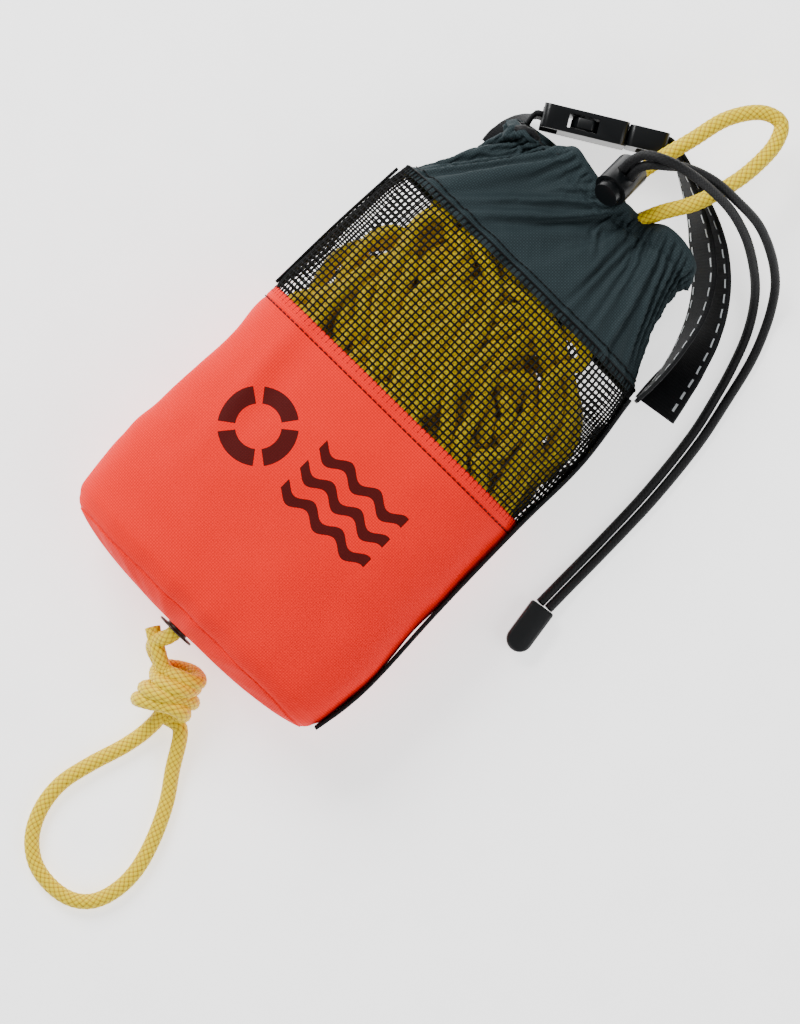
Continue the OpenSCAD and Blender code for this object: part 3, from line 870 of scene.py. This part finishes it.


# %% [markdown]
# ## Rope tail, knot and hand loop
# The bag end of the rope leaves through the eyelet, goes through a knot and makes the loop that
# the thrower holds. It is one continuous rope, so it is one path. The route repeats the CAD's
# points, and the wraps of the knot are worked out round its axis.

# %% Tail route
ROPE_D = 6.4
CORD_D = 4.0
TAIL = [(0, -96, EXIT_Z), (0, -108, EXIT_Z), (0, -120, EXIT_Z), (-2.5, -126, 22),
        (-2, -130, 14.5), (5, -133, 10), (12, -136, 11)]
TIP = [(8, -133, 19), (0, -129, 21), (-8, -124, 20)]
FLOOR_ROPE = ROPE_D / 2 + 0.1
LOOP = [(19, -146, 9), (20, -156, 5), (18, -168, FLOOR_ROPE), (13, -184, FLOOR_ROPE),
        (10, -198, FLOOR_ROPE), (11.5, -211, FLOOR_ROPE), (17, -222, FLOOR_ROPE),
        (26, -229, FLOOR_ROPE), (37, -231, FLOOR_ROPE), (47, -229, FLOOR_ROPE),
        (54, -223, FLOOR_ROPE), (57.5, -213, FLOOR_ROPE), (57.5, -201, FLOOR_ROPE),
        (53.5, -187, FLOOR_ROPE), (47, -173, FLOOR_ROPE), (39, -161, 5), (30, -147, 9)]


def wraps(centre, turned, run_from, run_to, count, radius, start, wobble):
    """Turns of rope round a knot's axis, in mm; turned is the axis angle from +Y in degrees."""
    lean = math.radians(turned)
    axis = np.array([-math.sin(lean), math.cos(lean), 0])
    across = np.array([math.cos(lean), math.sin(lean), 0])
    points = []
    steps = int(count * 12)
    for k in range(steps + 1):
        share = k / steps
        a = math.radians(start) + 2 * math.pi * count * share
        r = radius * (0.9 + 0.16 * math.sin(math.pi * share) + wobble * math.sin(2.3 * a + 0.7))
        tilt = 20 * wobble * math.sin(a + 0.8 + 2.2 * share)
        shift = run_from + (run_to - run_from) * share + tilt
        points.append(np.array(centre) + axis * shift
                      + r * (across * math.cos(a) + np.array([0, 0, 1.0]) * math.sin(a)))
    return points


KNOT_AT = (15.5, -138, 13.6)
knot_turns = wraps(KNOT_AT, 18, -10.0, 10.0, 3.4, 9.2, -60, 0.15)
tail_path = open_curve(TAIL + LOOP + [tuple(p) for p in knot_turns] + TIP, 0.8)
tail_path[:, 2] = np.maximum(tail_path[:, 2], FLOOR_ROPE + 0.1)
tail = tube("tail_rope_and_hand_loop", tail_path, ROPE_D, 40, ROPE_PICK, 0.55)
finish_piece(tail, yellow_rope, "root", ["tail_rope", "tail_knot", "tail_loop", "tail_tip"])
print("tail rope", round(length_of(tail_path)), "mm")

# %% [markdown]
# ## Stopper knot
# A knot just inside the end panel keeps the rope from being pulled out through the eyelet.

# %% Stopper knot inside the bag
stopper = wraps((0, -88, EXIT_Z), 0, -6, 6, 2, 6.4, 0, 0.0)
stopper_path = open_curve([(0, -76, EXIT_Z)] + [tuple(p) for p in stopper[::-1]]
                          + [(0, -96.5, EXIT_Z)], 1.6)
stopper_rope = tube("stopper_knot_rope", stopper_path, ROPE_D, 16, ROPE_PICK)
finish_piece(stopper_rope, yellow_rope, "root", ["stopper_knot"])

# %% [markdown]
# ## Loop out of the mouth
# The other end of the rope is doubled into a loop that stands out of the mouth and bows over.

# %% Loop of the stuffed end
MOUTH = [(2, 66, 28), (0, 86, 29), (0, 106, 31), (1, 126, 32.5), (3, 142, 33), (6, 158, 33),
         (10, 174, 32), (14, 190, 29.5), (22, 202, 26.5), (31, 205, 25), (35.5, 197, 27),
         (36, 184, 30.5), (34, 171, 32.5), (29, 156, 33), (21, 142, 33.5), (15, 126, 32),
         (12, 106, 31), (9, 66, 28)]
mouth_path = open_curve(MOUTH, 0.8)
mouth_rope = tube("mouth_rope_loop", mouth_path, ROPE_D, 40, ROPE_PICK, 0.55)
finish_piece(mouth_rope, yellow_rope, "root", ["mouth_loop"])

# %% [markdown]
# ## Drawcord
# Two strands of one cord leave the hem side by side, pass through the cord lock, bow over the
# mouth and lie on the floor to the clamped cord end. Inside the hem the cord goes round the mouth.

# %% Drawcord strands
LOCK_LEAN = math.radians(35)
HEM_EXIT = np.array([1, 133.5, 42.5])
LOCK_DIR = np.array([0, math.sin(LOCK_LEAN), math.cos(LOCK_LEAN)])
CORD_Z = CORD_D / 2 + 0.1
END_Z = 4.4


def strand_start(side):
    """The straight stretch of a strand through the cord lock."""
    return [tuple(HEM_EXIT + s * LOCK_DIR + np.array([side, 0, 0])) for s in (-3, 3, 11, 18, 25)]


INNER = strand_start(-2.1) + [
    (1.5, 153, 68), (8.5, 157, 70.3), (18, 160, 67.6), (29, 162.2, 59), (41, 163, 47.6),
    (52.5, 161, 35), (62.5, 156.6, 23), (71, 150.8, 12), (77.5, 143.5, 5), (83, 134, CORD_Z),
    (87.5, 122, CORD_Z), (91.5, 108, CORD_Z), (95.8, 88, CORD_Z), (98.6, 60, CORD_Z),
    (99.4, 32, CORD_Z), (99.4, 8, 3), (99.4, -4.9, END_Z)]
OUTER = strand_start(2.1) + [
    (5.5, 151.7, 66), (10.5, 156, 66.2), (17, 161.5, 61.5), (28, 166, 54.8), (41, 167.6, 46),
    (54, 167.8, 35), (66, 164, 23), (75.5, 158, 12.5), (82, 150, 5.5), (87.5, 139.5, CORD_Z),
    (92, 127, CORD_Z), (95.9, 110, CORD_Z), (100.2, 88, CORD_Z), (102.9, 60, CORD_Z),
    (103.6, 32, CORD_Z), (103.6, 8, 3), (103.6, -4.3, END_Z)]
strand_paths = {"drawcord_inner": open_curve(INNER, 0.55), "drawcord_outer": open_curve(OUTER, 0.55)}
strands = {}
for name, path in strand_paths.items():
    path[:, 2] = np.maximum(path[:, 2], CORD_Z + 0.1)
    strands[name] = tube(name + "_braid", path, CORD_D, 28, CORD_PICK, 0.3)
    finish_piece(strands[name], black_cord, "root", [name])
    print(name, round(length_of(path)), "mm")

# %% Cord inside the hem of the mouth
hem_ring = on_collar(np.full(160, 55.0), np.linspace(0, 1, 161)[:-1], -CLOTH_T - CORD_D / 2 - 0.3)
ring_path = np.vstack([hem_ring, hem_ring[:1]])
ring_cord = tube("drawcord_in_hem", ring_path, CORD_D, 12, CORD_PICK)
finish_piece(ring_cord, black_cord, "root", ["drawcord_ring"])

# %% [markdown]
# ## Stuffed rope
# The rope is flaked into the sack by hand, so it lies in loose loops that push against each
# other and against the cloth. The loops are laid down as one long curve, then relaxed: touching
# strands push apart, neighbours keep their spacing, and the sack pushes everything back inside.

# %% Rope pile
PILE_STEP = 6.0
FLAKES = 62
PILE_FROM, PILE_TO = -74.0, 78.0
PILE_IN = 6.2
PILE_LEAN = 128.0
FLAKE_POINTS = 34
PUSH_APART, LONGEST_MOVE = 0.42, 2.5
LINK_PULL, STRAIGHTEN = 0.3, 0.12


def inside_sack(points):
    """Points moved back to within the sack, leaving room for the rope's own radius."""
    y = np.clip(points[:, 1], PILE_FROM, PILE_TO + 4)
    half, low, middle, reach = outline_at(y)
    x, z = points[:, 0], np.maximum(points[:, 2], low + PILE_IN)
    out = (np.abs(x / (half - PILE_IN)) ** ROUNDNESS
           + np.abs((z - middle) / (reach - PILE_IN)) ** ROUNDNESS) ** (1 / ROUNDNESS)
    shrink = np.maximum(out, 1.0)
    return np.stack([x / shrink, y, np.maximum(middle + (z - middle) / shrink, low + PILE_IN)], 1)


def flaked_curve():
    """Long loops laid one on another, spread over the sack and rising through it."""
    points = []
    for k in range(FLAKES):
        z = 7 + 47 * k / (FLAKES - 1)
        x = 92 * ((0.618 * k) % 1.0) - 35
        y = 106 * ((0.414 * k) % 1.0) - 44
        lean = math.radians(PILE_LEAN + 24 * math.sin(2.4 * k))
        reach, wide = 46 + 10 * math.sin(2.1 * k), 18 + 8 * math.cos(1.7 * k)
        for step in range(FLAKE_POINTS):
            a = 2 * math.pi * step / FLAKE_POINTS
            px, py = reach * math.cos(a), wide * math.sin(a)
            points.append((x + px * math.cos(lean) - py * math.sin(lean),
                           y + px * math.sin(lean) + py * math.cos(lean),
                           z + 3 * math.sin(a * 2 + k)))
    return open_curve(points, PILE_STEP)


def relax(points, rounds):
    """Pushes touching strands apart while keeping the spacing and the sack."""
    reach = ROPE_D * 1.02
    for _ in range(rounds):
        tree = kdtree.KDTree(len(points))
        for k, p in enumerate(points):
            tree.insert(p, k)
        tree.balance()
        first, second = [], []
        for k, p in enumerate(points):
            for _, other, _ in tree.find_range(p, reach):
                if other > k + 2:
                    first.append(k)
                    second.append(other)
        first, second = np.array(first), np.array(second)
        gap = points[first] - points[second]
        far = np.maximum(np.linalg.norm(gap, axis=1, keepdims=True), 1e-6)
        push = gap / far * (reach - far) * PUSH_APART
        move = np.zeros_like(points)
        np.add.at(move, first, push)
        np.add.at(move, second, -push)
        points = points + np.clip(move, -LONGEST_MOVE, LONGEST_MOVE)
        for _ in range(2):
            link = np.diff(points, axis=0)
            size = np.maximum(np.linalg.norm(link, axis=1, keepdims=True), 1e-6)
            fix = link / size * (size - PILE_STEP) * LINK_PULL
            points[:-1] += fix
            points[1:] -= fix
        points[1:-1] += STRAIGHTEN * (points[:-2] + points[2:] - 2 * points[1:-1])
        points = inside_sack(points)
    return points


pile_path = relax(inside_sack(flaked_curve()), 60)
pile_path = open_curve(pile_path, 3.0)
pile = tube("stuffed_rope_pile", pile_path, ROPE_D, 14, ROPE_PICK)
finish_piece(pile, yellow_rope, "root", ["stuffed_rope"])
print("stuffed rope", round(length_of(pile_path) / 1000, 1), "m")

# %% [markdown]
# ## Webbing
# Webbing is a thick flat weave. Each ribbon follows a route of places with a lean, and bright
# tracer threads run along it a few millimetres in from both edges.

# %% Ribbons
WEB_W, WEB_T = 20.0, 1.6
WEB_STEP = 1.2


def ribbon_frame(route):
    """Centres, distances, wide and thick vectors along a leaning ribbon."""
    route = np.array(route, float)
    dense = open_curve(route[:, :3], WEB_STEP)
    run = running(dense)
    near = [int(np.argmin(np.linalg.norm(dense - p, axis=1))) for p in route[:, :3]]
    lean = np.radians(np.interp(run, run[near], route[:, 3]))[:, None]
    heading = np.gradient(dense, axis=0)
    heading[:, 2] = 0
    heading /= np.linalg.norm(heading, axis=1, keepdims=True)
    side = np.cross(heading, (0, 0, 1.0))
    up = np.array([[0, 0, 1.0]])
    return dense, run, up * np.cos(lean) - side * np.sin(lean), side * np.cos(lean) + up * np.sin(lean)


def ribbon(name, route, width=WEB_W, thick=WEB_T):
    """A webbing ribbon with rounded edges; returns the piece and its frame."""
    centre, run, wide, normal = ribbon_frame(route)
    outline = []
    for k in range(12):
        outline.append((-width / 2 + width * (k + 0.5) / 12, -thick / 2))
    outline.append((width / 2, 0))
    for k in range(12):
        outline.append((width / 2 - width * (k + 0.5) / 12, thick / 2))
    outline.append((-width / 2, 0))
    grid = np.stack([centre + wide * a + normal * b for a, b in outline], 1)[:, ::-1]
    across = [a * MM for a, _ in outline][::-1]
    piece = loft_grid(name, grid * MM, across + across[:1], run * MM, caps=True)
    return piece, (centre, run, wide, normal)


DASH, DASH_GAP = 3.6, 2.4
DASH_IN, DASH_HALF = 3.0, 0.55


def tracers(name, frame_of):
    """Bright dashes along both edges on both faces of a ribbon."""
    centre, run, wide, normal = frame_of
    points, faces = [], []
    for face in (-1, 1):
        for edge in (-1, 1):
            begin = 2.0
            while begin + DASH < run[-1]:
                for k, s in enumerate(np.linspace(begin, begin + DASH, 4)):
                    c, w, n = [np.array([np.interp(s, run, v[:, i]) for i in range(3)])
                               for v in (centre, wide, normal)]
                    lift = WEB_T / 2 + (0.06 if k in (0, 3) else 0.16)
                    middle = c + w * edge * (WEB_W / 2 - DASH_IN) + n * face * lift
                    points += [middle - w * DASH_HALF, middle + w * DASH_HALF]
                    if k:
                        last = len(points)
                        faces.append((last - 4, last - 3, last - 1, last - 2))
                begin += DASH + DASH_GAP
    return mesh_object(name, np.array(points) * MM, faces)


SIDE = [(float(on_skin(np.array([y]), np.array([0.0]), 0.9)[0, 0]), y, z, 0)
        for y, z in ((-106, 30), (-90, 30), (-72, 30), (-35, 30), (12, 30), (47, 29), (80, 28))]
side_strap, side_frame = ribbon("side_webbing_strip", SIDE)
finish_piece(side_strap, black_webbing, "root", ["side_webbing"])
side_tracer = tracers("side_webbing_tracer", side_frame)
finish_piece(side_tracer, tracer_thread, "root", [])

# %% [markdown]
# ## Buckle strap and socket tab
# The strap runs from the side seam to the plug and its tail comes back beside it. They follow the
# bag at one end and the plug at the other.

# %% Strap, tail and tab
STRAP = [(17.5, 163.2, 14.6, 0), (29, 156.8, 15, 14), (41.5, 148.5, 16, 26), (53, 138.5, 18, 26),
         (61.5, 125.5, 21, 20), (66.5, 110, 24, 10), (68.8, 95, 27, 3), (68.9, 81.5, 28, 0)]
STRAP_TAIL = [(17.5, 166.1, 14.6, 0), (32, 159.6, 14.6, 12), (48, 150.5, 15, 24),
              (60.5, 139, 16, 28), (70, 124, 17, 30), (74, 108, 16, 45), (75.5, 96, 14, 62),
              (77, 85, 12, 75)]
BUCKLE_AT = np.array([-10.5, 157.5, 14.6])
BUCKLE_TURN = math.radians(31)
OUT_OF_SOCKET = np.array([math.cos(BUCKLE_TURN), math.sin(BUCKLE_TURN), 0])
BUCKLE_FACE = np.array([-math.sin(BUCKLE_TURN), math.cos(BUCKLE_TURN), 0])


def plug_place(along, face):
    """A ribbon point in the plug, along its axis and out from its middle plane."""
    return tuple(BUCKLE_AT + OUT_OF_SOCKET * along + BUCKLE_FACE * face) + (0,)


for name, route, face, stands_for in (
        ("buckle_strap_webbing", STRAP, -0.9, ["buckle_strap", "strap_lead"]),
        ("strap_tail_webbing", STRAP_TAIL, 1.1, ["strap_tail"])):
    start = [plug_place(12, face), plug_place(20, face)]
    piece, strap_frame = ribbon(name, start + route[1:])
    finish_piece(piece, black_webbing, None, stands_for)
    dashes = tracers(name + "_tracer", strap_frame)
    finish_piece(dashes, tracer_thread, None, [])
    for soft in (piece, dashes):
        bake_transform(soft)

TAB_T = 2.4
TAB = [(-43.4, 137.8, 14.6, 0), (-45.5, 133, 11, 16), (-45.5, 128.5, 9, 36),
       (-44.5, 124, 6, 62), (-43, 118, 2.4, 86)]
socket_end = plug_place(-36 + 0.6, 0.0)
tab_piece, _ = ribbon("socket_tab_webbing", [socket_end] + TAB, thick=TAB_T)
finish_piece(tab_piece, black_webbing, "root", ["socket_tab"])

# Binding tape down the other side of the net
BIND_W, BIND_T = 9.0, 1.0
bind_y = np.array([y_hem + 1, y_hem + 35, y_collar - 1])
bind_x = -np.interp(bind_y, STATIONS[:, 0], STATIONS[:, 1]) - 0.9
BINDING = [(x, y, 29, 0) for x, y in zip(bind_x, bind_y)]
binding, _ = ribbon("side_binding_tape", BINDING, BIND_W, BIND_T)
finish_piece(binding, black_webbing, "root", ["side_binding"])

# %% [markdown]
# ## Stitches
# A lockstitch shows as short dashes that sink into the cloth at both ends. One function lays a
# row round the skin or the collar.

# %% Stitch rows
STITCH, STITCH_PITCH = 2.3, 2.8
STITCH_RINGS, STITCH_SIDES = 5, 6


def stitch_row(name, place, material, node):
    """Stitches along place(turn, lift), a function that gives points on the cloth."""
    count = int(GIRTH / STITCH_PITCH)
    points, faces = [], []
    for k in range(count):
        turn = (k + np.linspace(0, STITCH / STITCH_PITCH, STITCH_RINGS)) / count
        lift = 0.3 * np.sin(np.linspace(0, math.pi, STITCH_RINGS))
        line = place(turn, lift)
        side, up = carried_frames(line)
        for r in range(STITCH_RINGS):
            thin = 0.18 if r in (0, STITCH_RINGS - 1) else 0.28
            for c in range(STITCH_SIDES):
                a = 2 * math.pi * c / STITCH_SIDES
                points.append(line[r] + thin * (side[r] * math.cos(a) + up[r] * math.sin(a)))
                if r < STITCH_RINGS - 1:
                    base = (k * STITCH_RINGS + r) * STITCH_SIDES
                    above = base + STITCH_SIDES
                    n = (c + 1) % STITCH_SIDES
                    faces.append((base + c, above + c, above + n, base + n))
    row = mesh_object(name, np.array(points) * MM, faces)
    finish_piece(row, material, "root", [node])


stitch_row("panel_hem_stitches", lambda t, lift: on_skin(np.full(len(t), y_hem - HEM_W), t, lift),
           maroon_thread, "panel_hem_thread")
stitch_row("collar_hem_stitches", lambda t, lift: on_collar(np.full(len(t), 6.0), t, lift),
           black_thread, "collar_hem_thread")

# %% [markdown]
# ## Moulded hardware
# The buckle halves, the cord lock and the cord end keep the CAD's exact shape, because they have
# to fit. Each is a copy of the node, merged, with flat faces joined and its edges rounded as a
# moulding's are.

# %% Hardware
MERGE_WITHIN = 0.00001
FLAT_DEGREES, EDGE_DEGREES, SMOOTH_DEGREES = 1.0, 32, 35


def dress(name, node, material, body, slot_name, rounding):
    """A copy of a CAD node with rounded edges, standing for it."""
    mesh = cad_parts[node].data.copy()
    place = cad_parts[node].matrix_world.copy()
    work = bmesh.new()
    work.from_mesh(mesh)
    work.transform(place)
    bmesh.ops.remove_doubles(work, verts=work.verts, dist=MERGE_WITHIN)
    bmesh.ops.dissolve_limit(work, angle_limit=math.radians(FLAT_DEGREES), verts=work.verts,
                             edges=work.edges)
    work.to_mesh(mesh)
    work.free()
    piece = link_object(name, mesh)
    if rounding:
        apply_modifier(piece, "BEVEL", "rounding", width=rounding * MM, segments=3,
                       limit_method="ANGLE", angle_limit=math.radians(EDGE_DEGREES),
                       use_clamp_overlap=True)
    make_active(piece)
    bpy.ops.object.shade_smooth_by_angle(angle=math.radians(SMOOTH_DEGREES))
    return finish_piece(piece, material, body, [node])


HARDWARE = [
    ("socket_moulding", "buckle_socket", acetal, "root", "buckle_plastic", 1.5),
    ("plug_moulding", "plug_base", acetal, "plug", "buckle_plastic", 1.4),
    ("upper_latch_arm", "plug_arm_upper", acetal, "arm_upper", "buckle_plastic", 0.4),
    ("lower_latch_arm", "plug_arm_lower", acetal, "arm_lower", "buckle_plastic", 0.4),
    ("lock_body", "lock_barrel", acetal, "cord_lock", "lock_plastic", 0.5),
    ("lock_button", "lock_plunger", acetal, "plunger", "lock_plastic", 0.5),
    ("lock_coil", "lock_spring", spring_steel, "cord_lock", "spring_steel", 0.0),
    ("cord_end_upper", "cord_end_front", cord_end_black, "root", "cord_end_black", 1.1),
    # The lower cord-end half carries the painted red reflection.
    ("cord_end_lower", "cord_end_back", cord_end_red, "root", "cord_end_red", 1.1),
    ("eyelet", "grommet", eyelet_brass, "root", "eyelet_metal", 0.2),
    ("eyelet_washer", "grommet_washer", eyelet_brass, "root", "eyelet_metal", 0.15),
    ("foam_disc", "foam_float", white_foam, "root", "foam", 1.2)]
hardware = {row[0]: dress(*row) for row in HARDWARE}
print(len(hardware), "hardware pieces")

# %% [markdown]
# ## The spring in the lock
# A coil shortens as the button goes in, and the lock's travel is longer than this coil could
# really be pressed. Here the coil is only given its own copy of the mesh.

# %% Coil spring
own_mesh(hardware["lock_coil"])

# %% [markdown]
# ## Lengths of the free cords
# These lengths were read off the routes above and rounded, so agreeing with them shows that a
# mesh follows its route, and not what a maker would cut. The tail has 22 mm inside the bag, 37 mm
# out to the knot, 13 mm through its core, 206 mm of hand loop, 218 mm wound in the knot and 26 mm
# of free end. The mouth loop doubles back over 139 mm. Each strand of the drawcord runs from the
# hem to the clamped end.

# %% [markdown]
# ## Studio
# A pale floor that glows a little and large soft lights from three sides, as for a catalogue
# picture.

# %% Floor and lights
FLOOR_GLOW, WORLD_GLOW = 1.4, 0.3
bpy.ops.mesh.primitive_plane_add(size=6, location=(0, 0, 0))
floor = bpy.context.object
floor.name = "studio_floor"
floor_paper, floor_tree, floor_shader = new_material("matte_white_paper", 0.9)
paper = add(floor_tree, "TexNoise", {"Vector": add(floor_tree, "TexCoord").outputs["Object"],
                                     "Scale": 40.0, "Detail": 3.0})
floor_tree.links.new(ramp(floor_tree, paper.outputs["Fac"], [(0.3, "#f4f4f4"), (0.5, "#f8f8f8"),
                                                             (0.7, "#fafafa")]),
                     floor_shader.inputs["Base Color"])
floor_shader.inputs["Emission Color"].default_value = linear("#ffffff")
floor_shader.inputs["Emission Strength"].default_value = FLOOR_GLOW
floor.data.materials.append(floor_paper)

AIM = Vector((0.02, 0, 0.02))
LAMPS = [("key", (-1.15, 0.35, 1.05), 0.8, 37), ("fill", (1.1, 0.3, 0.95), 1.0, 12),
         ("end", (0.0, -1.2, 1.0), 1.0, 8)]
for lamp_name, lamp_place, lamp_size, lamp_power in LAMPS:
    lamp_data = bpy.data.lights.new(lamp_name, "AREA")
    lamp_data.size = lamp_size
    lamp_data.energy = lamp_power
    lamp = link_object(lamp_name, lamp_data)
    lamp.location = lamp_place
    lamp.rotation_euler = (AIM - Vector(lamp_place)).to_track_quat("-Z", "Y").to_euler()
world = bpy.data.worlds.new("studio_world")
bpy.context.scene.world = world
world.use_nodes = True
world.node_tree.nodes["Background"].inputs["Color"].default_value = linear("#f4f6f8")
world.node_tree.nodes["Background"].inputs["Strength"].default_value = WORLD_GLOW
